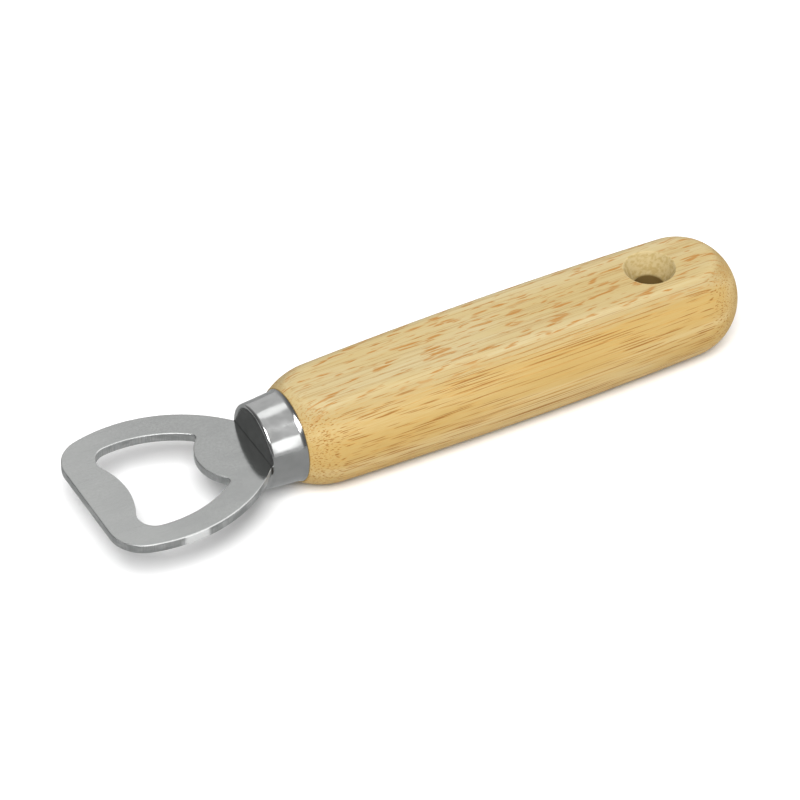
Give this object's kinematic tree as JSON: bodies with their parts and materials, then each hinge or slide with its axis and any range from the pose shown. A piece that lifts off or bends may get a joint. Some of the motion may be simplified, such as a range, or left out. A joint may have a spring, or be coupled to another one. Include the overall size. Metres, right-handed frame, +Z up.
{
  "type": "bottle opener",
  "caption": "Hand-held crown cap opener: flat steel head with an open mouth and a lifting tooth, drawn steel ferrule, turned wooden handle with a hanging hole.",
  "frame": {"origin": "on the surface that the handle's lower flat rests on, under the middle of the opener's whole box", "axes": "+X from the head to the end of the handle, +Y across the head, +Z up, square to the plate and to the handle's two flats"},
  "size_m": [0.1554, 0.0392, 0.0222],
  "materials": {
    "head_steel": "tumbled satin steel sheet",
    "ferrule_steel": "polished nickel-plated steel",
    "glue": "cured amber adhesive, hidden",
    "handle_wood": "pale beech with fine flecks, thin clear varnish"
  },
  "bodies": {
    "root": {"head_plate": "head_steel", "ferrule": "ferrule_steel", "tang_glue": "glue", "handle": "handle_wood"}
  },
  "joints": []
}
